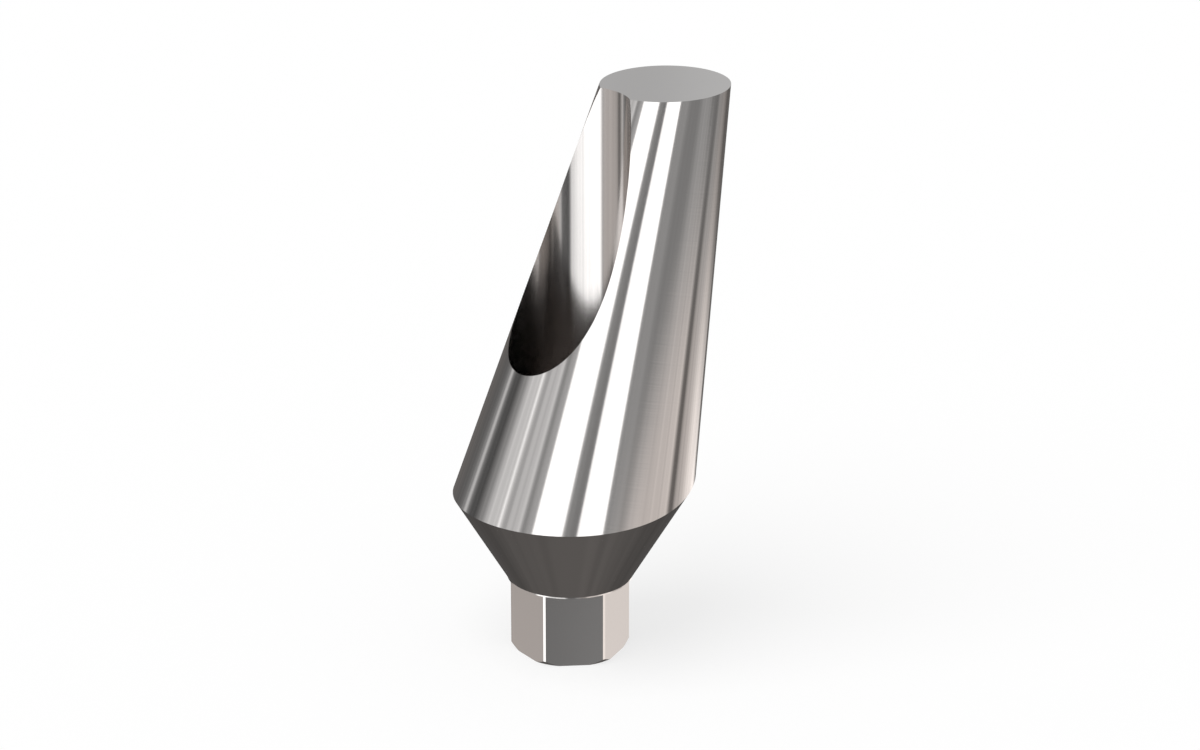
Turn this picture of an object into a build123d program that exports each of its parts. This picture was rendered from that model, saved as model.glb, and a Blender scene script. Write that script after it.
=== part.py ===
from build123d import *
import os
from math import cos, radians, tan

# Angled dental implant abutment, turned and milled from one bar of titanium.
# Millimetres. +Z is the implant's axis and runs up through the screw channel.
# The origin is on that axis, at the shoulder over the hexagon. The post leans towards +X.

# Hexagonal connection, which plugs into the implant below the shoulder
HEX_ACROSS_FLATS = 2.42
HEX_ACROSS_CORNERS = 2.76
HEX_LENGTH = 1.80
TIP_DIAMETER = 2.52
TIP_CHAMFER_ANGLE = 45

# Emergence cone, which widens from the shoulder up to the margin
SHOULDER_DIAMETER = 2.92
SHOULDER_LAND = 0.03
FLARE_ANGLE = 31

# Tapered post that carries the crown
POST_TILT = 15
POST_TAPER = 7.5
POST_PIVOT_HEIGHT = 1.30
POST_DIAMETER_AT_PIVOT = 5.66
TOP_HEIGHT = 11.40

# Stepped passage for the abutment screw
CHANNEL_DIAMETER = 2.78
SHANK_BORE_DIAMETER = 1.90
SCREW_SEAT_HEIGHT = 1.25
SCREW_SEAT_ANGLE = 45


def turned(outline):
    """A solid of revolution about Z from an outline of (radius, height) points."""
    return revolve(Plane.XZ * make_face(Polyline(*outline, close=True)), Axis.Z)


def hex_connection():
    """Hexagonal prism with a flat towards +X, its corners and its tip turned down."""
    root_height = SHOULDER_LAND
    corner_radius = HEX_ACROSS_CORNERS / 2
    tip_radius = TIP_DIAMETER / 2
    chamfer_height = (corner_radius - tip_radius) / tan(radians(TIP_CHAMFER_ANGLE))
    section = RegularPolygon(HEX_ACROSS_FLATS / 2, 6, major_radius=False, rotation=30)
    prism = Pos(0, 0, -HEX_LENGTH) * extrude(section, HEX_LENGTH + root_height)
    envelope = turned([
        (0, -HEX_LENGTH),
        (tip_radius, -HEX_LENGTH),
        (corner_radius, -HEX_LENGTH + chamfer_height),
        (corner_radius, root_height),
        (0, root_height),
    ])
    return prism & envelope


def flare_blank():
    """Emergence cone on its short land, run on up to the height of the flat top."""
    shoulder_radius = SHOULDER_DIAMETER / 2
    rise = TOP_HEIGHT - SHOULDER_LAND
    return turned([
        (0, 0),
        (shoulder_radius, 0),
        (shoulder_radius, SHOULDER_LAND),
        (shoulder_radius + rise * tan(radians(FLARE_ANGLE)), TOP_HEIGHT),
        (0, TOP_HEIGHT),
    ])


def post_blank():
    """Tapered post about its own tilted axis, past the shoulder below and the top above."""
    pivot_radius = POST_DIAMETER_AT_PIVOT / 2
    below = POST_PIVOT_HEIGHT + SHOULDER_DIAMETER
    above = (TOP_HEIGHT - POST_PIVOT_HEIGHT) / cos(radians(POST_TILT)) + pivot_radius
    slope = tan(radians(POST_TAPER))
    cone = turned([
        (0, -below),
        (pivot_radius + below * slope, -below),
        (pivot_radius - above * slope, above),
        (0, above),
    ])
    return Pos(0, 0, POST_PIVOT_HEIGHT) * Rot(0, POST_TILT, 0) * cone


def screw_passage():
    """Wide channel for the screw's head, a conical seat, and a bore for its shank."""
    channel_radius = CHANNEL_DIAMETER / 2
    shank_radius = SHANK_BORE_DIAMETER / 2
    seat_rise = (channel_radius - shank_radius) / tan(radians(SCREW_SEAT_ANGLE))
    overrun = CHANNEL_DIAMETER
    return turned([
        (0, -HEX_LENGTH - overrun),
        (shank_radius, -HEX_LENGTH - overrun),
        (shank_radius, SCREW_SEAT_HEIGHT),
        (channel_radius, SCREW_SEAT_HEIGHT + seat_rise),
        (channel_radius, TOP_HEIGHT + overrun),
        (0, TOP_HEIGHT + overrun),
    ])


def abutment():
    """The sharp margin is where the tilted post meets the emergence cone."""
    body = flare_blank() & post_blank()
    return body + hex_connection() - screw_passage()


os.makedirs("parts", exist_ok=True)
export_step(abutment().solid(), "parts/abutment.step")
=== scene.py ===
"""Looks for an angled dental implant abutment, turned and milled from titanium.

The abutment is one closed piece. It is worked out with numpy from the sizes of its cones,
cylinders and flats, so that its mirror-like faces stay smooth and its edges crisp.
The stage is a pale floor, a soft lamp, a tent of reflection panels and the camera.
Lengths are in metres. The origin is on the implant axis at the shoulder, +Z up the channel.
"""

from math import cos, pi, radians, sin, tan

import bpy
import numpy as np
from bpy.props import FloatProperty, FloatVectorProperty, PointerProperty
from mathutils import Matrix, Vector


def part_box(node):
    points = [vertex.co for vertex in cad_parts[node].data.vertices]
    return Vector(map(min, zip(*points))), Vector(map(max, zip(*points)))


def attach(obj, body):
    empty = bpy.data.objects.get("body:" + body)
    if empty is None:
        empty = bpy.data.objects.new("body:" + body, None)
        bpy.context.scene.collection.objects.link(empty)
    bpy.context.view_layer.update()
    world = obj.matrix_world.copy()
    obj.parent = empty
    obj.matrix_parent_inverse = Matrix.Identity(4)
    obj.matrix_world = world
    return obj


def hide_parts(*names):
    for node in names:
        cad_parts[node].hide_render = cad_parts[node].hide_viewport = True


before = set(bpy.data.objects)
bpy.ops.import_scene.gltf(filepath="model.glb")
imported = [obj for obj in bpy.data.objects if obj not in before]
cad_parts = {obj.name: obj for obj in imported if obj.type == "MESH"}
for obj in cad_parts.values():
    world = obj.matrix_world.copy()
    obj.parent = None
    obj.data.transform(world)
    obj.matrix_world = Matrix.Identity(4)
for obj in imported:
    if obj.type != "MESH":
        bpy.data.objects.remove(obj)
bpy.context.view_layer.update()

bl_info = {
    "name": "Dental Abutment",
    "version": (1, 0, 0),
    "blender": (4, 5, 0),
    "location": "3D View > Sidebar > Abutment",
    "description": "Builds an angled dental implant abutment in titanium on a studio stage",
    "category": "Add Mesh",
}

MM = 0.001
UP = np.array([0.0, 0.0, 1.0])

# The solid that the piece stands for, and its lowest and highest place
NODE = "abutment"
CAD_LOW, CAD_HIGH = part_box(NODE)
TIP_Z = CAD_LOW.z
TOP_Z = CAD_HIGH.z

# What the meshes carry for their materials
MARKS_MAP = "turning"
INSIDE_ATTRIBUTE = "inside"
LIGHT_ATTRIBUTE = "panel_light"

# The photograph's camera, in the part's own frame
CAMERA_PLACE = (-45.326 * MM, -65.848 * MM, 35.312 * MM)
CAMERA_PITCH = radians(69.195)
CAMERA_HEADING = radians(-35.042)
CAMERA_LENS = 112.45
SENSOR_WIDTH = 36.0
CAMERA_NEAR = 0.005
CAMERA_FAR = 10.0

# How often light may be mirrored on its way out of the deep screw channel
CHANNEL_BOUNCES = 12

# Points of the abutment's skin that round to the same multiple of this are one point
WELD_SIZE = 1e-6 * MM


# Sizes and colours that a user would change


def length(name, description, default):
    """A length property in metres whose default is given in millimetres."""
    return FloatProperty(
        name=name, description=description, default=default * MM,
        min=0.0, unit="LENGTH", precision=5,
    )


def angle(name, description, default):
    """An angle property whose default is given in degrees."""
    return FloatProperty(
        name=name, description=description, default=radians(default),
        subtype="ANGLE", unit="ROTATION",
    )


def share(name, description, default, high=1.0):
    """A plain number from zero to high."""
    return FloatProperty(name=name, description=description, default=default, min=0.0, max=high)


def colour(name, description, default):
    """A colour without alpha."""
    return FloatVectorProperty(
        name=name, description=description, default=default,
        subtype="COLOR", size=3, min=0.0, max=1.0,
    )


class AbutmentSizes(bpy.types.PropertyGroup):
    """The named sizes of the solid part, on which every surface of the piece is worked out."""

    hex_flats: length("Hex across flats", "Width of the connection between two flats", 2.42)
    hex_corners: length("Hex across corners", "Diameter that its corners are turned to", 2.76)
    tip_width: length("Hex tip", "Diameter of the chamfered end of the hexagon", 2.52)
    shoulder_width: length("Shoulder", "Diameter of the shoulder over the hexagon", 2.92)
    shoulder_land: length("Shoulder land", "Height of the short cylinder under the flare", 0.03)
    flare_angle: angle("Flare angle", "Slope of the emergence cone from the implant axis", 31)
    post_tilt: angle("Post tilt", "Lean of the post from the implant axis, towards +X", 15)
    post_taper: angle("Post taper", "Slope of the post's side from the post's own axis", 7.5)
    pivot_height: length("Pivot height", "Where the post's axis leaves the implant axis", 1.30)
    pivot_width: length("Post at pivot", "Diameter of the post at the pivot", 5.66)
    channel_width: length("Screw channel", "Diameter of the channel for the screw's head", 2.78)
    bore_width: length("Shank bore", "Diameter of the bore for the screw's shank", 1.90)
    seat_height: length("Screw seat", "Where the conical seat starts above the shoulder", 1.25)


class TitaniumFinish(bpy.types.PropertyGroup):
    """Colour and surface of the turned titanium."""

    tone: colour("Metal colour", "Reflectance of the bare metal", (0.56, 0.534, 0.519))
    shade: colour("Duller metal colour", "Reflectance in its faint patches", (0.53, 0.505, 0.488))
    roughness: share("Roughness", "Roughness of the polished outer metal", 0.085)
    passage_roughness: share("Passage roughness", "Roughness of the reamed screw passage", 0.15)
    passage_smear: share("Passage smear", "How far its marks draw reflections out", 0.95)
    roughness_spread: share("Roughness spread", "How far marks and patches change it", 0.03)
    mark_pitch: length("Turning mark pitch", "Spacing of the fine turning marks", 0.05)
    mark_depth: length("Turning mark depth", "Depth of the fine turning marks", 0.00018)
    grain_size: length("Grain size", "Size of the polished metal's grain", 0.02)


class StageSettings(bpy.types.PropertyGroup):
    """Floor, lamp and reflection panels."""

    floor_radius: length("Floor radius", "Radius of the round floor", 1500.0)
    floor_tone: colour("Floor colour", "Colour of the pale floor", (0.95, 0.95, 0.95))
    floor_glow: share("Floor whiteness", "Share of the plain white backdrop in the floor", 0.7)
    ambient: share("Ambient light", "Level of the even light from all round", 0.6)
    lamp: share("Lamp light", "Level that the soft lamp adds on the floor", 0.45)
    lamp_size: angle("Lamp size", "Angle that the soft lamp fills", 50)
    strip_light: share("Strip lights", "Brightness of the strip lights in the tent", 2.2, 10.0)


# The abutment's surfaces


def direction(azimuth):
    """Unit vectors in the XY plane at the given azimuths."""
    return np.stack([np.cos(azimuth), np.sin(azimuth), np.zeros_like(azimuth)], -1)


def steps(start, end, count):
    """Evenly spaced values from start to end, as count intervals."""
    return np.linspace(start, end, count + 1)


def blend(start, end, rows):
    """Rows of values that run evenly from the array start to the array end."""
    share_of_end = steps(0.0, 1.0, rows)[:, None]
    if start.ndim == 2:
        share_of_end = share_of_end[..., None]
    return start * (1.0 - share_of_end) + end * share_of_end


class Cone:
    """A cone from its apex, its axis pointing to the wide side, and its radius per unit of axis."""

    def __init__(self, apex, axis, slope):
        self.apex = np.asarray(apex, float)
        self.axis = np.asarray(axis, float)
        self.slope = slope

    def meets(self, start, heading):
        """Distance along each line at which it crosses the cone, nearest and furthest.

        A point start + t * heading is on the cone where the square of its distance from the
        axis is the square of slope times its distance along the axis, a quadratic in t.
        """
        offset = start - self.apex
        along, rate = offset @ self.axis, heading @ self.axis
        stretch = 1.0 + self.slope ** 2
        a = stretch * rate ** 2 - (heading * heading).sum(-1)
        b = stretch * along * rate - (offset * heading).sum(-1)
        c = stretch * along ** 2 - (offset * offset).sum(-1)
        root = np.sqrt(b * b - a * c)
        hits = np.stack([(-b - root) / a, (-b + root) / a])
        return hits.min(0), hits.max(0)

    def normals(self, points):
        """Outward unit normals: away from the axis, leaning back towards the apex by the slope."""
        offset = points - self.apex
        along = offset @ self.axis
        outward = offset - along[..., None] * self.axis
        outward /= np.linalg.norm(outward, axis=-1, keepdims=True)
        normal = outward - self.slope * self.axis
        return normal / np.linalg.norm(normal, axis=-1, keepdims=True)


def check_closed(corners, starts, sizes):
    """Stops the script unless each edge is walked once each way, by the faces on its sides."""
    ends = np.roll(corners, -1)
    ends[starts + sizes - 1] = corners[starts]
    span = corners.max() + 1
    there, walks_there = np.unique(corners * span + ends, return_counts=True)
    back, walks_back = np.unique(ends * span + corners, return_counts=True)
    once = walks_there.max() == 1 and walks_back.max() == 1
    if not (once and np.array_equal(there, back)):
        raise RuntimeError("the abutment's skin isn't closed")


class Patchwork:
    """Gathers patches of one closed skin and welds them where their edges share points."""

    def __init__(self):
        self.points, self.normals, self.marks, self.inside, self.faces = [], [], [], [], []
        self.count = 0

    def add(self, points, normals, marks, faces, inside=0.0):
        """Adds points with their normals and turning-mark coordinates, and turns faces outward.

        inside is one on the walls of the screw's passage and zero on the outer faces.
        """
        points = points.reshape(-1, 3)
        normals = np.broadcast_to(normals, points.shape)
        marks = marks.reshape(-1, 2)
        corner = points[faces]
        facing = np.cross(corner[:, 2] - corner[:, 0], corner[:, 3] - corner[:, 1])
        inward = (facing * normals[faces].mean(1)).sum(-1) < 0
        faces = np.where(inward[:, None], faces[:, [0, 3, 2, 1]], faces)
        self.points.append(points)
        self.normals.append(normals)
        self.marks.append(marks)
        self.inside.append(np.full(len(points), inside))
        self.faces.append(faces + self.count)
        self.count += len(points)

    def grid(self, points, normals, marks, closed=False, inside=0.0):
        """A patch from a grid of rows by columns; closed joins its last column to its first."""
        rows, columns = points.shape[:2]
        index = np.arange(rows * columns).reshape(rows, columns)
        right = np.roll(index, -1, 1) if closed else index[:, 1:]
        left = index if closed else index[:, :-1]
        faces = np.stack([left[:-1], right[:-1], right[1:], left[1:]], -1).reshape(-1, 4)
        self.add(points, normals.reshape(-1, 3), marks, faces, inside)

    def strip(self, one, other, one_at, other_at, normal, marks):
        """A flat strip between two rows of points of any count.

        one_at and other_at say how far along each point is. The strip's triangles step to
        whichever row's next point comes first. A triangle is a quad with its last corner doubled.
        """
        n = len(one)
        i = np.arange(n - 1)
        j = np.arange(len(other) - 1)
        beside_one = n + np.searchsorted(other_at[1:], one_at[1:], "left")
        beside_other = np.searchsorted(one_at[1:], other_at[1:], "right")
        faces = np.concatenate([
            np.stack([i, i + 1, beside_one, beside_one], -1),
            np.stack([j + n, j + 1 + n, beside_other, beside_other], -1),
        ])
        self.add(np.concatenate([one, other]), normal, marks, faces)

    def ring(self, one, other, normal, marks_of):
        """A flat ring between two closed loops round the implant axis.

        Each loop is put in the order of its azimuths, with its first point again at its end.
        """
        loops, at = [], []
        for loop in (one, other):
            azimuth = np.arctan2(loop[:, 1], loop[:, 0])
            order = np.argsort(azimuth)
            order = np.append(order, order[0])
            azimuth = azimuth[order]
            azimuth[-1] += 2 * pi
            loops.append(loop[order])
            at.append(azimuth)
        self.strip(*loops, *at, normal, marks_of(np.concatenate(loops)))

    def mesh(self, name):
        """The welded mesh with its own normals and turning-mark map.

        Points that round to the same place are one point. A face's corner is left out where the
        next corner is the same point, and so is a face with fewer than three corners left.
        """
        points = np.concatenate(self.points)
        normals = np.concatenate(self.normals)
        marks = np.concatenate(self.marks)
        inside = np.concatenate(self.inside)
        faces = np.concatenate(self.faces)
        places = np.round(points / WELD_SIZE).astype(np.int64)
        _, first, shared = np.unique(places, axis=0, return_index=True, return_inverse=True)
        welded = shared.reshape(-1)[faces]
        kept = welded != np.roll(welded, -1, 1)
        sizes = kept.sum(1)
        real = sizes > 2
        kept &= real[:, None]
        corners = welded[kept]
        sources = faces[kept]
        sizes = sizes[real]
        starts = np.concatenate([[0], np.cumsum(sizes)[:-1]])
        check_closed(corners, starts, sizes)
        mesh = bpy.data.meshes.new(name)
        mesh.vertices.add(len(first))
        mesh.vertices.foreach_set("co", points[first].ravel())
        mesh.loops.add(len(corners))
        mesh.loops.foreach_set("vertex_index", corners.astype(np.int32))
        mesh.polygons.add(len(sizes))
        mesh.polygons.foreach_set("loop_start", starts.astype(np.int32))
        mesh.update(calc_edges=True)
        layer = mesh.uv_layers.new(name=MARKS_MAP)
        layer.data.foreach_set("uv", (marks[sources] / MM).ravel())
        attribute = mesh.attributes.new(INSIDE_ATTRIBUTE, "FLOAT", "CORNER")
        attribute.data.foreach_set("value", inside[sources])
        mesh.validate()
        mesh.normals_split_custom_set(normals[sources].tolist())
        return mesh


def pair(first, second):
    """Two arrays side by side as the two turning-mark coordinates."""
    first, second = np.broadcast_arrays(first, second)
    return np.stack([first, second], -1)


class AbutmentShape:
    """Lines and surfaces of the abutment from its sizes."""

    # How finely each surface is divided
    FRONT_COLUMNS = 240
    RIM_COLUMNS = 240
    NOTCH_COLUMNS = 40
    POST_ROWS = 36
    FLARE_ROWS = 10
    CHANNEL_ROWS = 40
    SEAT_ROWS = 3
    BORE_ROWS = 12
    HEX_ROWS = 8
    HEX_FLAT_COLUMNS = 8
    HEX_CHAMFER_COLUMNS = 6
    HEX_CORNER_COLUMNS = 4

    HEX_SIDES = 6

    def __init__(self, sizes):
        self.sizes = sizes
        self.channel = sizes.channel_width / 2
        self.bore = sizes.bore_width / 2
        self.shoulder = sizes.shoulder_width / 2
        self.pivot_radius = sizes.pivot_width / 2
        tilt = sizes.post_tilt
        self.pivot = sizes.pivot_height * UP
        self.axis = np.array([sin(tilt), 0.0, cos(tilt)])
        self.side = np.array([cos(tilt), 0.0, -sin(tilt)])
        self.across = np.array([0.0, 1.0, 0.0])
        self.taper = tan(sizes.post_taper)
        apex = self.pivot + self.axis * self.pivot_radius / self.taper
        self.post_cone = Cone(apex, -self.axis, self.taper)
        spread = tan(sizes.flare_angle)
        foot = (sizes.shoulder_land - self.shoulder / spread) * UP
        self.flare_cone = Cone(foot, UP, spread)
        self.seat_top = sizes.seat_height + self.channel - self.bore

    def post_point(self, turn, height):
        """The post's cone: along its tilted axis by height, then out by its radius at that turn."""
        outward = np.cos(turn)[..., None] * self.side + np.sin(turn)[..., None] * self.across
        radius = self.pivot_radius - self.taper * height
        return self.pivot + height[..., None] * self.axis + radius[..., None] * outward

    def post_place(self, points):
        """Turn about the post's axis, from 0 to a full turn, and height along it."""
        offset = points - self.pivot
        turn = np.arctan2(offset @ self.across, offset @ self.side)
        return np.mod(turn, 2 * pi), offset @ self.axis

    def top_height(self, turn):
        """Height on the post's axis at which the cone's line at that turn reaches the flat top.

        A place on that line rises by its height times the axis's own rise, and by its radius
        times its outward line's. Both are linear in the height, so it follows by division.
        """
        lean = np.cos(turn) * self.side[2]
        rise = TOP_Z - self.pivot[2] - self.pivot_radius * lean
        return rise / (self.axis[2] - self.taper * lean)

    def margin_height(self, turn):
        """Height on the post's axis at which the cone's line at that turn meets the flare.

        Of the two places where the line crosses the flare's cone, it is the one nearer to where
        the line starts, at the pivot's height.
        """
        none = np.zeros_like(turn)
        start = self.post_point(turn, none)
        heading = self.post_point(turn, none + 1.0) - start
        near, far = self.flare_cone.meets(start, heading)
        return np.where(np.abs(near) < np.abs(far), near, far)

    def notch_azimuth(self):
        """Azimuth on the channel at which it leaves the flat top.

        On the top plane the distance from the post's pivot is known, and the cone then gives
        the height along the post's axis, so the azimuth's cosine follows.
        """
        rise = TOP_Z - self.pivot[2]
        stretch = 1.0 + self.taper ** 2
        middle = self.pivot_radius * self.taper
        far_side = self.channel ** 2 + rise ** 2 - self.pivot_radius ** 2
        height = (middle + np.sqrt(middle ** 2 + stretch * far_side)) / stretch
        return np.arccos((height - rise * self.axis[2]) / (self.channel * self.axis[0]))

    def rim(self):
        """Where the channel breaks out of the post: azimuths, points, turns and heights.

        Each point is straight above the channel's circle, where it leaves the post's cone. The
        first and the last are the notch's corners in the flat top.
        """
        notch = self.notch_azimuth()
        azimuth = steps(notch, 2 * pi - notch, self.RIM_COLUMNS)
        start = direction(azimuth) * self.channel + self.pivot
        near, far = self.post_cone.meets(start, UP)
        rise = np.where(near > 0.0, near, far)
        points = start + rise[:, None] * UP
        points[[0, -1], 2] = TOP_Z
        turn, height = self.post_place(points)
        return azimuth, points, turn, height

    def skin(self):
        """The whole closed skin of the abutment, whose patches share the points of their edges.

        The waist is the rim's point that comes furthest round to the front, where the opening is
        widest. The post is laid out in rows from rim to rim above it, and in columns below it.
        """
        work = Patchwork()
        azimuth, rim, turn, height = self.rim()
        waist = int(np.argmin(turn[: self.RIM_COLUMNS // 2]))
        share_of_front = steps(-1.0, 1.0, self.FRONT_COLUMNS)
        top_edge = self.add_upper_post(work, turn, height, waist, share_of_front)
        margin = self.add_lower_post(work, turn, height, waist, share_of_front)
        land = self.add_flare(work, margin)
        bore_foot, notch_arc = self.add_passage(work, azimuth, rim)
        self.add_top(work, top_edge, notch_arc, share_of_front)
        root, tip = self.add_hex(work)
        work.ring(land, root, -UP, self.flat_marks)
        work.ring(tip, bore_foot, -UP, self.flat_marks)
        return work

    def flat_marks(self, points):
        """Turning marks on a flat face: round the implant axis, one ring per radius."""
        radius = np.hypot(points[:, 0], points[:, 1])
        return pair(np.arctan2(points[:, 1], points[:, 0]) * radius, radius)

    def post_marks(self, turn, height):
        """Turning marks on the post: round its tilted axis, one ring per height."""
        return pair(turn * self.pivot_radius, height)

    def add_upper_post(self, work, turn, height, waist, front):
        """The post beside the open channel, one row for each rim point down to the waist.

        A row runs from the rim on one side round the front to the rim on the other. Its height
        follows the top edge's own curve, which fades out towards the waist.
        """
        rows = slice(0, waist + 1)
        turns = turn[rows, None] * front
        fade = (height[rows] - height[waist]) / (height[0] - height[waist])
        curve = self.top_height(turn[0] * front) - height[0]
        heights = height[rows, None] + fade[:, None] * curve
        points = self.post_point(turns, heights)
        work.grid(points, self.post_cone.normals(points), self.post_marks(turns, heights))
        return points[0]

    def add_lower_post(self, work, turn, height, waist, front):
        """The post below the waist and the open channel, down to the margin.

        Columns run along the cone from the waist or the rim to the margin. Behind, they fan out
        a little on their way down, so that no column gets too thin beside the waist.
        """
        behind = slice(waist + 1, len(turn) - 1 - waist)
        upper_turn = np.concatenate([turn[waist] * front, turn[behind]])
        upper_height = np.concatenate([np.full(len(front), height[waist]), height[behind]])
        even = steps(turn[waist], 2 * pi - turn[waist], len(turn[behind]) + 1)[1:-1]
        lower_turn = np.concatenate([turn[waist] * front, (turn[behind] + even) / 2])
        turns = blend(upper_turn, lower_turn, self.POST_ROWS)
        heights = blend(upper_height, self.margin_height(lower_turn), self.POST_ROWS)
        points = self.post_point(turns, heights)
        normals = self.post_cone.normals(points)
        work.grid(points, normals, self.post_marks(turns, heights), closed=True)
        return points[-1]

    def add_flare(self, work, margin):
        """The emergence cone from the margin down to the land, and the land itself.

        Each column runs straight down the cone at its margin point's own azimuth.
        """
        azimuth = np.arctan2(margin[:, 1], margin[:, 0])
        edge = direction(azimuth) * self.shoulder
        land_top = edge + self.sizes.shoulder_land * UP
        points = blend(margin, land_top, self.FLARE_ROWS)
        around = azimuth * self.shoulder
        marks = pair(around, points[..., 2] / cos(self.sizes.flare_angle))
        work.grid(points, self.flare_cone.normals(points), marks, closed=True)
        land = np.stack([land_top, edge])
        normals = np.broadcast_to(direction(azimuth), land.shape)
        work.grid(land, normals, pair(around, land[..., 2]), closed=True)
        return edge

    def add_passage(self, work, azimuth, rim):
        """The screw's way through: open channel, conical seat and shank bore, from the top down.

        Each wall runs straight from the edge above it to a circle of its own radius and depth.
        """
        notch = azimuth[0]
        arc = steps(-notch, notch, self.NOTCH_COLUMNS)
        notch_arc = direction(arc) * self.channel + TOP_Z * UP
        around = np.concatenate([azimuth, arc[1:-1] + 2 * pi])
        out = direction(around)
        mouth = np.concatenate([rim, notch_arc[1:-1]])
        levels = (
            (self.channel, self.seat_top, self.CHANNEL_ROWS, 0.0),
            (self.bore, self.sizes.seat_height, self.SEAT_ROWS, 1.0),
            (self.bore, TIP_Z, self.BORE_ROWS, 0.0),
        )
        for radius, depth, rows, lean in levels:
            foot = out * radius + depth * UP
            points = blend(mouth, foot, rows)
            normal = -out + lean * UP
            normal /= np.linalg.norm(normal, axis=-1, keepdims=True)
            work.grid(
                points, np.broadcast_to(normal, points.shape),
                pair(around * self.channel, points[..., 2]), closed=True, inside=1.0,
            )
            mouth = foot
        return mouth, notch_arc

    def add_top(self, work, top_edge, notch_arc, front):
        """The flat top, between its outer edge and the arc that the channel cuts from it."""
        points = np.concatenate([top_edge, notch_arc])
        centre = self.pivot + self.axis * (TOP_Z - self.pivot[2]) / self.axis[2]
        offset = points - centre
        radius = np.hypot(offset[:, 0], offset[:, 1])
        marks = pair(np.arctan2(offset[:, 1], offset[:, 0]) * radius, radius)
        arc_at = steps(-1.0, 1.0, self.NOTCH_COLUMNS)
        work.strip(top_edge, notch_arc, front, arc_at, UP, marks)

    def add_hex(self, work):
        """Six flats with turned corners and a chamfered tip, from the shoulder down.

        At an angle from a flat's middle, the outline is the flat's distance over the cosine,
        cut off at the corner radius. The tip cone cuts it again where it is wider than the tip.
        """
        apothem = self.sizes.hex_flats / 2
        corner = self.sizes.hex_corners / 2
        tip = self.sizes.tip_width / 2
        to_corner = np.arccos(apothem / corner)
        to_chamfer = np.arccos(apothem / tip)
        flat = np.concatenate([
            steps(-to_corner, -to_chamfer, self.HEX_CHAMFER_COLUMNS),
            steps(-to_chamfer, to_chamfer, self.HEX_FLAT_COLUMNS)[1:-1],
            steps(to_chamfer, to_corner, self.HEX_CHAMFER_COLUMNS),
        ])
        next_flat = 2 * pi / self.HEX_SIDES
        arc = steps(to_corner, next_flat - to_corner, self.HEX_CORNER_COLUMNS)
        roots, tips = [], []
        for middle in steps(0.0, 2 * pi, self.HEX_SIDES)[:-1]:
            for angles, radius, radial in ((flat, apothem / np.cos(flat), False),
                                           (arc, np.full(arc.shape, corner), True)):
                out = direction(angles + middle)
                root = out * radius[:, None]
                edge_height = TIP_Z + np.maximum(radius - tip, 0.0)
                edge = root + edge_height[:, None] * UP
                end = out * np.minimum(radius, tip)[:, None] + TIP_Z * UP
                facing = out if radial else direction(np.array(middle))
                side = blend(root, edge, self.HEX_ROWS)
                around = (angles + middle) * corner
                work.grid(side, np.broadcast_to(facing, side.shape), pair(around, side[..., 2]))
                bevel = np.stack([edge, end])
                slope = (out - UP) / np.sqrt(2.0)
                work.grid(bevel, np.broadcast_to(slope, bevel.shape), pair(around, bevel[..., 2]))
                roots.append(root[:-1])
                tips.append(end[:-1])
        return np.concatenate(roots), np.concatenate(tips)


# Materials

# Scales of the noises on place, in cycles a metre: how the marks wander, and the dull patches
WANDER_SCALE = 0.4 / MM
PATCH_SCALE = 0.35 / MM
# Width of the broad bands among the turning marks, in marks
BAND_MARKS = 8
# Heights of marks, bands and grain, as shares of the mark depth
MARK_HEIGHT = 0.7
BAND_HEIGHT = 1.2
GRAIN_HEIGHT = 0.3
# Share of marks and of grain in the uneven roughness, beside the patches
FINE_SHARE = 0.5
# The passage's marks run round it, so its smear is turned by this share of a full turn
SMEAR_TURN = 0.25
WHITE = (1.0, 1.0, 1.0, 1.0)


class Term:
    """A node socket in a formula; each arithmetic operator on it adds one Math node."""

    def __init__(self, shader, socket):
        self.shader, self.socket = shader, socket

    def __add__(self, other):
        return self.shader.maths("ADD", self, other)

    def __sub__(self, other):
        return self.shader.maths("SUBTRACT", self, other)

    def __rsub__(self, other):
        return self.shader.maths("SUBTRACT", other, self)

    def __mul__(self, other):
        return self.shader.maths("MULTIPLY", self, other)

    def __truediv__(self, other):
        return self.shader.maths("DIVIDE", self, other)

    def __rtruediv__(self, other):
        return self.shader.maths("DIVIDE", other, self)

    __radd__ = __add__
    __rmul__ = __mul__


class Shader:
    """Adds nodes to one node tree."""

    def __init__(self, owner):
        owner.use_nodes = True
        self.tree = owner.node_tree
        self.tree.nodes.clear()

    def node(self, kind, settings=None, values=None, output=0):
        """One node: settings are set first, then the values or links of its sockets."""
        node = self.tree.nodes.new("ShaderNode" + kind)
        for key, value in (settings or {}).items():
            setattr(node, key, value)
        for key, value in (values or {}).items():
            if isinstance(value, Term):
                self.tree.links.new(value.socket, node.inputs[key])
            else:
                node.inputs[key].default_value = value
        return Term(self, node.outputs[output]) if node.outputs else node

    def maths(self, operation, *terms):
        """A Math node on sockets and numbers."""
        return self.node("Math", {"operation": operation}, dict(enumerate(terms)))

    def mix(self, factor, first, second):
        """A colour between two colours, by the node's colour sockets: 6, 7 and output 2."""
        return self.node("Mix", {"data_type": "RGBA"}, {0: factor, 6: first, 7: second}, 2)

    def noise(self, place, scale, detail, dimensions="3D"):
        """A noise value round one half, at the given scale of its coordinate."""
        source = "W" if dimensions == "1D" else "Vector"
        return self.node(
            "TexNoise", {"noise_dimensions": dimensions},
            {source: place, "Scale": scale, "Detail": detail},
        )


def opaque(values):
    """A colour property as four numbers."""
    return (*values, 1.0)


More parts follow.
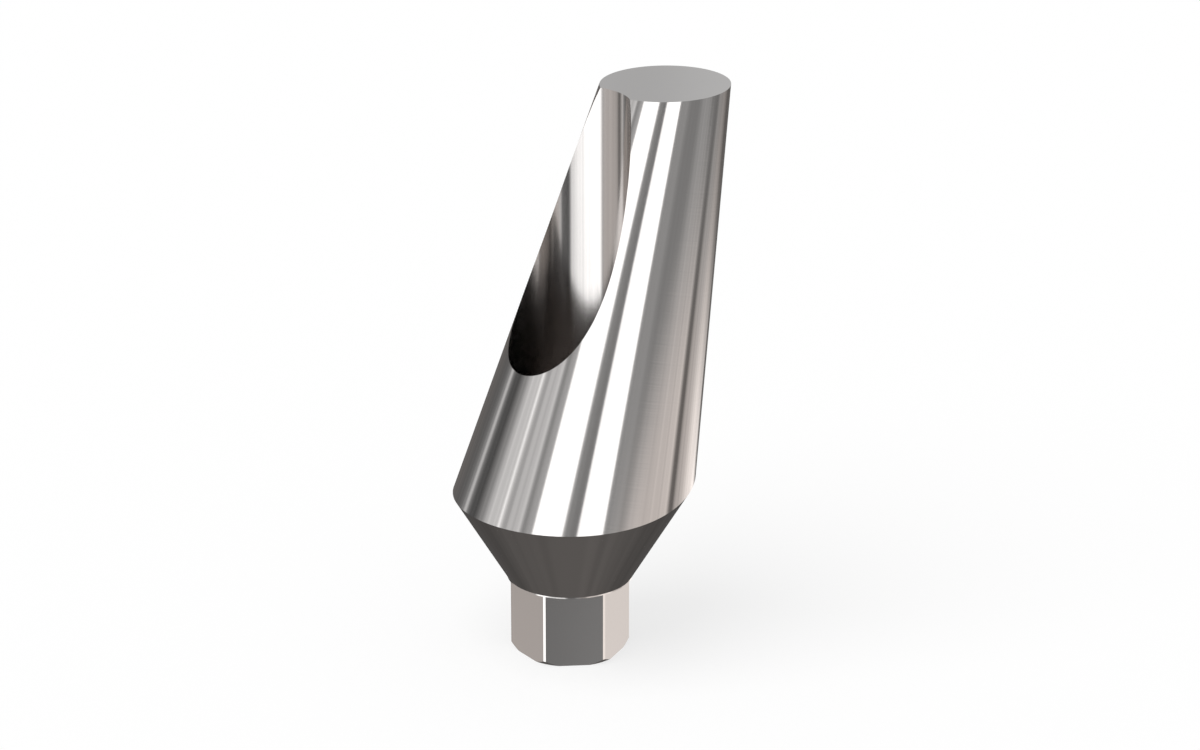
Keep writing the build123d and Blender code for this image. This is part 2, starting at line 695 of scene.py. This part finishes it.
def titanium_material(finish):
    """Polished turned titanium: fine marks round the axis, a faint grain and dull patches.

    The marks are a noise along the axis that wanders a little from place to place, and broader
    bands lie among them. A noise is a half on average, so the sum of the noises in the uneven
    roughness is one on average, and that is taken off.
    """
    material = bpy.data.materials.new("turned_titanium")
    shader = Shader(material)
    place = shader.node("TexCoord", output="Object")
    map_place = shader.node("UVMap", {"uv_map": MARKS_MAP})
    along = shader.node("SeparateXYZ", values={"Vector": map_place}, output="Y")
    pitch = finish.mark_pitch / MM
    wander = shader.noise(place, WANDER_SCALE, detail=1.0) * pitch
    marks = shader.noise((along + wander) / pitch, 1.0, detail=2.0, dimensions="1D")
    bands = shader.noise(along / (BAND_MARKS * pitch), 1.0, detail=2.0, dimensions="1D")
    grain = shader.noise(place, 1.0 / finish.grain_size, detail=2.0)
    patches = shader.noise(place, PATCH_SCALE, detail=3.0)
    inside = shader.node("Attribute", {"attribute_name": INSIDE_ATTRIBUTE}, output="Fac")
    height = marks * MARK_HEIGHT + bands * BAND_HEIGHT + grain * GRAIN_HEIGHT
    bump = shader.node("Bump", values={
        "Strength": 1.0, "Distance": finish.mark_depth, "Height": height,
    })
    tone = shader.mix(patches, opaque(finish.tone), opaque(finish.shade))
    noises = marks * FINE_SHARE + grain * FINE_SHARE + patches
    uneven = (noises - 1.0) * finish.roughness_spread
    metal = {"Base Color": tone, "Metallic": 1.0, "Normal": bump}
    polished = shader.node("BsdfPrincipled", values={
        **metal, "Roughness": uneven + finish.roughness,
    })
    reamed = shader.node("BsdfPrincipled", values={
        **metal, "Roughness": uneven + finish.passage_roughness,
        "Anisotropic": finish.passage_smear, "Anisotropic Rotation": SMEAR_TURN,
    })
    surface = shader.node("MixShader", values={0: inside, 1: polished, 2: reamed})
    shader.node("OutputMaterial", values={"Surface": surface})
    return material


def seen_directly(shader):
    """One where the camera, a mirror or glass looks at the surface, and zero for other light."""
    rays = shader.node("LightPath")
    outputs = rays.socket.node.outputs
    camera, glossy, glass = (Term(shader, outputs[name]) for name in (
        "Is Camera Ray", "Is Glossy Ray", "Is Transmission Ray"))
    return shader.node("Clamp", values={"Value": camera + glossy + glass})


def floor_material(stage):
    """Matte pale floor, in part plain white as the backdrop is, so that its shadow stays soft."""
    material = bpy.data.materials.new("pale_floor")
    shader = Shader(material)
    matte = shader.node("BsdfDiffuse", values={"Color": opaque(stage.floor_tone)})
    white = shader.node("Emission", values={"Color": WHITE, "Strength": 1.0})
    part = seen_directly(shader) * stage.floor_glow
    surface = shader.node("MixShader", values={0: part, 1: matte, 2: white})
    shader.node("OutputMaterial", values={"Surface": surface})
    return material


def backdrop_world(stage):
    """Plain white where it is seen, and an even ambient light elsewhere."""
    world = bpy.data.worlds.new("white_backdrop")
    shader = Shader(world)
    seen = seen_directly(shader)
    strength = seen + (1.0 - seen) * stage.ambient
    sky = shader.node("Background", values={"Color": WHITE, "Strength": strength})
    shader.node("OutputWorld", values={"Surface": sky})
    return world


def tent_material(stage):
    """Glowing panels: the mesh's own attribute gives each place its light."""
    material = bpy.data.materials.new("tent_panels")
    shader = Shader(material)
    light = shader.node("Attribute", {"attribute_name": LIGHT_ATTRIBUTE}, output="Color")
    glow = shader.node("Emission", values={"Color": light, "Strength": stage.strip_light})
    shader.node("OutputMaterial", values={"Surface": glow})
    material.cycles.emission_sampling = "NONE"
    return material


# The stage

# A belt of panels is its bare wall's light and then its panels, each laid over the ones before:
# left and right edge in degrees from the camera, how soft its edges are, and its light.
# Light is a share of the strip lights, and every edge of the tent is in degrees.
UPPER_WALL = 0.185
UPPER_PANELS = (
    (150, 215, 10, 0.07),
    (-164, -126, 16, 0.08),
    (-120.6, -115.3, 4, 0.38),
    (-114, -98, 11, 0.06),
    (-88, -58, 13, 0.44),
    (-62, -47.5, 3, 0.37),
    (-52, -48, 3, 0.46),
    (-72, -70, 2, 0.75),
    (-67, -62.5, 4, 0.26),
    (-47.5, -43, 4, 0.20),
    (-42, -34, 4, 0.28),
    (-12, -5, 3, 0.25),
    (-35.2, -7.1, 1, 1.0),
    (-1, 6, 4, 0.14),
    (26, 31, 3, 0.25),
    (6.2, 29.1, 1, 1.0),
    (32, 43, 6, 0.205),
    (46, 66, 8, 0.15),
    (69, 85, 5, 0.21),
    (89, 109, 6, 0.12),
    (136, 156, 20, 0.07),
)
LOWER_WALL = 0.38
LOWER_PANELS = (
    (-126, -62, 8, 0.33),
    (-114, -106, 5, 0.11),
    (-138, -126, 8, 0.16),
    (-28, -11, 8, 0.84),
    (-64, -27, 6, 1.0),
    (-13, -3.5, 5, 0.64),
    (-2, 14, 5, 0.07),
    (15, 40, 4, 0.38),
    (41, 47, 5, 0.32),
    (50, 64, 8, 0.45),
    (68, 97, 14, 0.42),
    (91, 96.5, 4, 0.47),
    (107, 117, 5, 0.32),
    (98, 107, 5, 0.095),
    (118.5, 126, 5, 0.42),
    (128, 162, 14, 0.66),
    (156, 222, 5, 0.07),
)
FOOT_WALL = 0.14
FOOT_PANELS = (
    (166, 224, 10, 0.05),
    (-132, -64, 12, 0.30),
    (-42, -8, 6, 0.55),
    (-64, -40, 8, 1.0),
    (-4, 9.4, 5, 0.10),
    (9.4, 27, 5, 0.18),
    (30, 56, 8, 0.48),
    (50, 162, 8, 0.40),
    (55, 83, 12, 0.72),
    (112, 158, 8, 0.50),
    (143, 163, 8, 0.80),
)
# The panel behind the abutment, which the flat top mirrors: where it stands, its light, and
# the elevations between which it fades in
BACK_PANEL = (157, 195, 18, 1.0)
BACK_LIGHT = 0.29
BACK_EDGE = (2.0, 8.0)
# Streaks along which the ground is darker or lighter, written as panels whose last number says
# how many times as light it is
GROUND_STREAKS = (
    (-150, -132, 10, 0.86),
    (-126, -120, 5, 1.04),
    (-90, -81, 6, 0.88),
    (70, 90, 8, 1.10),
    (89, 98, 5, 0.92),
    (99, 107, 5, 1.10),
    (114, 122, 6, 0.97),
    (128, 150, 8, 0.88),
)
# The ground's light straight below, and the share of it that is lost towards the horizon
GROUND_LIGHT = 0.078
GROUND_FALL = 0.65
# The ceiling's light, and the elevations between which it takes over from the walls
CEILING_LIGHT = 0.55
CEILING_EDGE = (45.0, 60.0)
# Elevations between which the foot belt takes over from the ground, and the lower belt from
# the foot belt
GROUND_EDGE = (-30.0, -27.5)
FOOT_EDGE = (-24.0, -22.5)
# Elevation of the skirt's edge, where the upper belt takes over, how far the edge rises on the
# camera's side and falls on the far side, and how soft it is each way
SKIRT_EDGE = -11.7
SKIRT_TILT = 11.4
SKIRT_SOFTNESS = 3.4
# Folds of the tent's cloth: how many go round, how deep they are and where they start, and the
# share of their depth that is left straight above and below
FOLDS = ((29, 0.04, 0.5), (61, 0.06, 1.9), (97, 0.05, 4.9), (149, 0.03, 4.4))
POLE_FOLDS = 0.4
# On one side the cloth is stretched nearly flat: the middle of that side, the share of the
# folds' depth that is left there, and how far from it they deepen again
FLAT_CLOTH_MIDDLE = 45.0
FLAT_CLOTH_FOLDS = 0.3
FLAT_CLOTH_EDGE = (12.0, 45.0)
# The upper belt's light is cool, and warm on the far side, below the panel behind. The light of
# the belts under it is warm, and cool round a window. The ground's is mostly warm. An edge here
# is how far from its middle the light turns warm.
COOL_LIGHT = (1.0, 1.018, 1.032)
WARM_LIGHT = (1.0, 0.942, 0.907)
GROUND_WARMTH = 0.8
WINDOW_MIDDLE = -25.0
WINDOW_EDGE = (36.0, 50.0)
FAR_SIDE_MIDDLE = -14.0
FAR_SIDE_EDGE = (109.0, 150.0)

TENT_RADIUS = 1.0
TENT_COLUMNS = 1440
TENT_ROWS = 180
FLOOR_SPOKES = 96
FLOOR_RINGS = 12
# How far the lamp's light slants, and how far it is turned from the camera's heading
LAMP_SLANT = radians(30)
LAMP_TURN = radians(50)


def smooth(value, start, end):
    """Zero below start, one above end, and an even curve between them.

    The curve is the share of the way from start to end, squared, times three less twice it.
    """
    share_of_way = np.clip((value - start) / (end - start), 0.0, 1.0)
    return share_of_way ** 2 * (3.0 - 2.0 * share_of_way)


def panel_light(azimuth, wall, panels):
    """Light of a belt of panels at each azimuth: the wall's, and each panel's over it.

    A panel covers all that is nearer to its middle than its half width, and its cover fades
    across its edge as far as the edge is soft.
    """
    light = np.full(azimuth.shape, wall)
    for left, right, softness, level in panels:
        away = np.abs((azimuth - (left + right) / 2 + 180.0) % 360.0 - 180.0)
        cover = smooth((right - left) / 2 - away, -softness / 2, softness / 2)
        light += (level - light) * cover
    return light


def skirt_cover(azimuth, elevation):
    """How far the upper belt covers the lower: by height over an edge that tilts as a cosine."""
    edge = SKIRT_EDGE + SKIRT_TILT * np.cos(np.radians(azimuth))
    return smooth(elevation, edge - SKIRT_SOFTNESS, edge + SKIRT_SOFTNESS)


def tent_level(azimuth, elevation):
    """How bright the tent is at each azimuth and elevation.

    From below, the ground, the foot belt, the lower belt and the upper belt each take over from
    the one before, and then come the panel behind and the ceiling. The ground falls off with
    the square of the elevation's cosine. Folds are sines of the azimuth, which brighten or
    darken the rest by their depth.
    """
    cosine = np.cos(np.radians(elevation))
    level = GROUND_LIGHT * (1.0 - GROUND_FALL * cosine ** 2)
    level = level * panel_light(azimuth, 1.0, GROUND_STREAKS)
    for wall, panels, cover in (
        (FOOT_WALL, FOOT_PANELS, smooth(elevation, *GROUND_EDGE)),
        (LOWER_WALL, LOWER_PANELS, smooth(elevation, *FOOT_EDGE)),
        (UPPER_WALL, UPPER_PANELS, skirt_cover(azimuth, elevation)),
    ):
        level += (panel_light(azimuth, wall, panels) - level) * cover
    behind = panel_light(azimuth, 0.0, (BACK_PANEL,))
    level += (BACK_LIGHT - level) * behind * smooth(elevation, *BACK_EDGE)
    level += (CEILING_LIGHT - level) * smooth(elevation, *CEILING_EDGE)
    folds = sum(
        depth * np.sin(np.radians(azimuth) * count + start) for count, depth, start in FOLDS
    )
    loose = smooth(np.abs(azimuth - FLAT_CLOTH_MIDDLE), *FLAT_CLOTH_EDGE)
    folds *= FLAT_CLOTH_FOLDS + (1.0 - FLAT_CLOTH_FOLDS) * loose
    return level * (1.0 + folds * (POLE_FOLDS + (1.0 - POLE_FOLDS) * cosine))


def tent_tint(azimuth, elevation):
    """The light's tint at each azimuth and elevation: cool and warm light mixed by its warmth.

    Below the skirt the warmth is the belts' or the ground's own. Above the skirt it is left only
    on the far side, under the panel behind.
    """
    above_ground = smooth(elevation, *GROUND_EDGE)
    beside_window = smooth(np.abs(azimuth - WINDOW_MIDDLE), *WINDOW_EDGE)
    below_back = 1.0 - smooth(elevation, *BACK_EDGE)
    far_side = smooth(np.abs(azimuth - FAR_SIDE_MIDDLE), *FAR_SIDE_EDGE) * below_back
    warm = GROUND_WARMTH + (beside_window - GROUND_WARMTH) * above_ground
    warm = warm * np.maximum(1.0 - skirt_cover(azimuth, elevation), far_side)
    warm = warm[..., None]
    return np.array(WARM_LIGHT) * warm + np.array(COOL_LIGHT) * (1.0 - warm)


def tent_object(stage):
    """A ball round the abutment, whose points are lit by their azimuth and elevation.

    A point is a unit vector at its azimuth from the camera's own, raised to its elevation,
    times the tent's radius, over a middle at half the abutment's height.
    """
    azimuth = steps(-180.0, 180.0, TENT_COLUMNS)[:-1]
    elevation = steps(-90.0, 90.0, TENT_ROWS)[:, None]
    level = tent_level(azimuth, elevation)
    light = np.ones((*level.shape, 4))
    light[..., :3] = level[..., None] * tent_tint(azimuth, elevation)

    bearing = np.arctan2(CAMERA_PLACE[1], CAMERA_PLACE[0]) + np.radians(azimuth)
    flat = direction(bearing) * np.cos(np.radians(elevation))[..., None]
    points = flat + np.sin(np.radians(elevation))[..., None] * UP
    points = points * TENT_RADIUS + (TIP_Z + TOP_Z) / 2 * UP
    rows, columns = points.shape[:2]
    index = np.arange(rows * columns).reshape(rows, columns)
    right = np.roll(index, -1, 1)
    faces = np.stack([index[:-1], index[1:], right[1:], right[:-1]], -1).reshape(-1, 4)
    mesh = bpy.data.meshes.new("reflection_tent")
    mesh.from_pydata(points.reshape(-1, 3), (), faces)
    attribute = mesh.attributes.new(LIGHT_ATTRIBUTE, "FLOAT_COLOR", "POINT")
    attribute.data.foreach_set("color", light.ravel())
    tent = bpy.data.objects.new("reflection_tent", mesh)
    mesh.materials.append(tent_material(stage))
    for rays in ("camera", "diffuse", "transmission", "volume_scatter", "shadow"):
        setattr(tent, "visible_" + rays, False)
    return tent


def floor_object(stage):
    """A round floor under the hexagon's tip: rings whose radius grows with the ring's square."""
    around = steps(0.0, 2 * pi, FLOOR_SPOKES)[:-1]
    radius = stage.floor_radius * steps(0.0, 1.0, FLOOR_RINGS)[1:, None] ** 2
    rings = direction(around) * radius[..., None]
    points = np.concatenate([rings.reshape(-1, 3), np.zeros((1, 3))]) + TIP_Z * UP
    index = np.arange(FLOOR_RINGS * FLOOR_SPOKES).reshape(FLOOR_RINGS, FLOOR_SPOKES)
    right = np.roll(index, -1, 1)
    quads = np.stack([index[:-1], index[1:], right[1:], right[:-1]], -1).reshape(-1, 4)
    centre = np.full(FLOOR_SPOKES, len(points) - 1)
    fan = np.stack([centre, index[0], right[0]], -1)
    mesh = bpy.data.meshes.new("pale_floor")
    mesh.from_pydata(points, (), quads.tolist() + fan.tolist())
    mesh.materials.append(floor_material(stage))
    floor = bpy.data.objects.new("pale_floor", mesh)
    floor.visible_glossy = False
    return floor


def lamp_object(stage):
    """A broad soft lamp from the upper left; the tent stands in for it in the metal.

    A white level floor gets the lamp's level from it when its strength is that level times pi,
    over the cosine of its slant.
    """
    data = bpy.data.lights.new("soft_lamp", "SUN")
    data.angle = stage.lamp_size
    data.energy = stage.lamp * pi / cos(LAMP_SLANT)
    lamp = bpy.data.objects.new("soft_lamp", data)
    lamp.rotation_euler = (LAMP_SLANT, 0.0, CAMERA_HEADING - LAMP_TURN)
    lamp.visible_glossy = False
    return lamp


def camera_object():
    """The photograph's camera."""
    data = bpy.data.cameras.new("photo_camera")
    data.sensor_width = SENSOR_WIDTH
    data.lens = CAMERA_LENS
    data.clip_start, data.clip_end = CAMERA_NEAR, CAMERA_FAR
    camera = bpy.data.objects.new("photo_camera", data)
    camera.location = CAMERA_PLACE
    camera.rotation_euler = (CAMERA_PITCH, 0.0, CAMERA_HEADING)
    return camera


# The add-on


def show(context, thing):
    """Puts an object in the scene and returns it."""
    context.scene.collection.objects.link(thing)
    return thing


class ABUTMENT_OT_body(bpy.types.Operator):
    """Make the titanium abutment in place of the plain solid"""

    bl_idname = "abutment.body"
    bl_label = "Abutment"
    bl_options = {"REGISTER", "UNDO"}

    def execute(self, context):
        scene = context.scene
        mesh = AbutmentShape(scene.abutment_sizes).skin().mesh("abutment_body")
        mesh.materials.append(titanium_material(scene.abutment_finish))
        body = show(context, bpy.data.objects.new("abutment_body", mesh))
        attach(body, "root")
        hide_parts(NODE)
        return {"FINISHED"}


class ABUTMENT_OT_stage(bpy.types.Operator):
    """Make the pale floor, the soft light, the reflection tent and the camera"""

    bl_idname = "abutment.stage"
    bl_label = "Stage"
    bl_options = {"REGISTER", "UNDO"}

    def execute(self, context):
        stage = context.scene.abutment_stage
        floor = show(context, floor_object(stage))
        tent = show(context, tent_object(stage))
        show(context, lamp_object(stage))
        context.scene.world = backdrop_world(stage)
        context.scene.camera = show(context, camera_object())
        context.scene.view_settings.view_transform = "Standard"
        context.scene.cycles.glossy_bounces = CHANNEL_BOUNCES
        return {"FINISHED"}


class ABUTMENT_PT_sidebar(bpy.types.Panel):
    """Lists what the add-on makes and the sizes and colours it uses"""

    bl_idname = "ABUTMENT_PT_sidebar"
    bl_label = "Dental Abutment"
    bl_space_type = "VIEW_3D"
    bl_region_type = "UI"
    bl_category = "Abutment"

    def draw(self, context):
        layout = self.layout
        for group, operator in (
            (context.scene.abutment_sizes, None),
            (context.scene.abutment_finish, "abutment.body"),
            (context.scene.abutment_stage, "abutment.stage"),
        ):
            column = layout.box().column()
            for name in group.__annotations__:
                column.prop(group, name)
            if operator:
                layout.operator(operator)


GROUPS = {
    "abutment_sizes": AbutmentSizes,
    "abutment_finish": TitaniumFinish,
    "abutment_stage": StageSettings,
}
CLASSES = (*GROUPS.values(), ABUTMENT_OT_body, ABUTMENT_OT_stage, ABUTMENT_PT_sidebar)


def register():
    """Adds the classes, and hangs their settings on the scene."""
    for item in CLASSES:
        bpy.utils.register_class(item)
    for name, group in GROUPS.items():
        setattr(bpy.types.Scene, name, PointerProperty(type=group))


def unregister():
    """Takes the settings and the classes away again."""
    for name in GROUPS:
        delattr(bpy.types.Scene, name)
    for item in reversed(CLASSES):
        bpy.utils.unregister_class(item)


def main():
    register()
    bpy.ops.abutment.body()
    bpy.ops.abutment.stage()
    bpy.context.view_layer.update()


if __name__ == "__main__":
    main()
